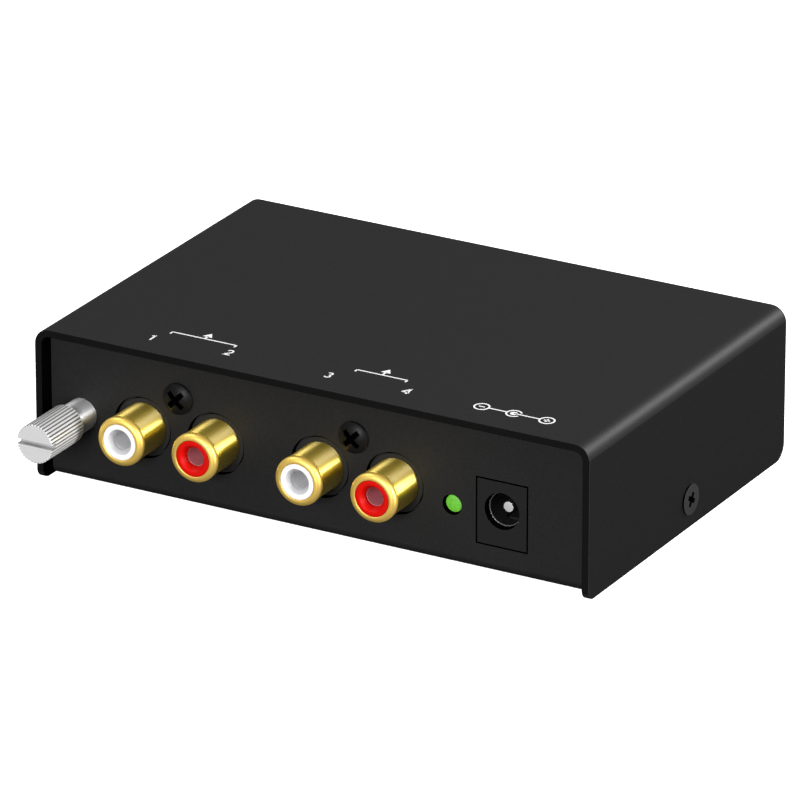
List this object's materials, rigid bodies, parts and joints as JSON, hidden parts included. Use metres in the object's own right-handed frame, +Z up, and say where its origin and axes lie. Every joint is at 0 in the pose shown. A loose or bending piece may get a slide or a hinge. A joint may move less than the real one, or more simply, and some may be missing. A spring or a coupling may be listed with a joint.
{
  "type": "phono preamplifier",
  "caption": "Small flat steel box with paired phono sockets for input and output, a knurled ground screw, a lamp and a power socket in a row on its front.",
  "frame": {"origin": "on the underside, below the middle of the cover", "axes": "+X to the right of someone facing the sockets, +Y from the sockets to the plain back, +Z up"},
  "size_m": [0.1046, 0.0814, 0.027],
  "materials": {
    "case_paint": "fine matt black powder coat",
    "black_screw": "black oxide, semi-gloss",
    "board_green": "green solder mask",
    "nickel": "bright nickel plate",
    "tinned_metal": "tin plate",
    "spring_steel": "black spring steel",
    "black_plastic": "moulded black plastic",
    "gold_plate": "bright gold plate",
    "white_plastic": "glossy white plastic",
    "red_plastic": "glossy red plastic",
    "green_lens": "diffused green lens",
    "capacitor_sleeve": "shrunk plastic sleeve",
    "film_coating": "glossy resin",
    "ceramic_coating": "dipped coating",
    "resistor_coating": "baked lacquer"
  },
  "bodies": {
    "preamp": {"chassis": "case_paint", "top_cover": "case_paint", "side_screws": "black_screw", "circuit_board": "board_green", "board_posts": "nickel", "board_screws": "nickel", "output_jack_housing": "black_plastic", "input_jack_housing": "black_plastic", "housing_screws": "black_screw", "output_left_shell": "gold_plate", "output_right_shell": "gold_plate", "input_left_shell": "gold_plate", "input_right_shell": "gold_plate", "output_left_insulator": "white_plastic", "output_right_insulator": "red_plastic", "input_left_insulator": "white_plastic", "input_right_insulator": "red_plastic", "output_left_contact": "tinned_metal", "output_right_contact": "tinned_metal", "input_left_contact": "tinned_metal", "input_right_contact": "tinned_metal", "ground_post": "nickel", "ground_nut": "nickel", "ground_strap": "tinned_metal", "power_jack_body": "black_plastic", "power_jack_pin": "tinned_metal", "power_jack_spring": "tinned_metal", "lamp_lens": "green_lens", "lamp_legs": "tinned_metal", "left_chip": "black_plastic", "right_chip": "black_plastic", "coupling_capacitors": "capacitor_sleeve", "supply_capacitors": "capacitor_sleeve", "film_capacitors": "film_coating", "ceramic_capacitors": "ceramic_coating", "resistors": "resistor_coating", "voltage_regulator": "black_plastic", "polarity_diode": "black_plastic"},
    "thumbscrew_ring": {"ground_screw_ring": "spring_steel"},
    "thumbscrew": {"ground_screw": "nickel"}
  },
  "joints": [
    {"name": "ground_screw_travel", "type": "slide", "parent": "preamp", "child": "thumbscrew_ring", "axis": [0, -1, 0], "range_m": [0, 0.003]},
    {"name": "ground_screw_turn", "type": "hinge", "parent": "thumbscrew_ring", "child": "thumbscrew", "pos_m": [-0.0446, -0.0369, 0.0121], "axis": [0, -1, 0], "range_deg": [0, 2160]}
  ],
  "couplings": [
    {"joint": "ground_screw_travel", "follows": "ground_screw_turn", "m_per_rad": 0.000079577}
  ]
}
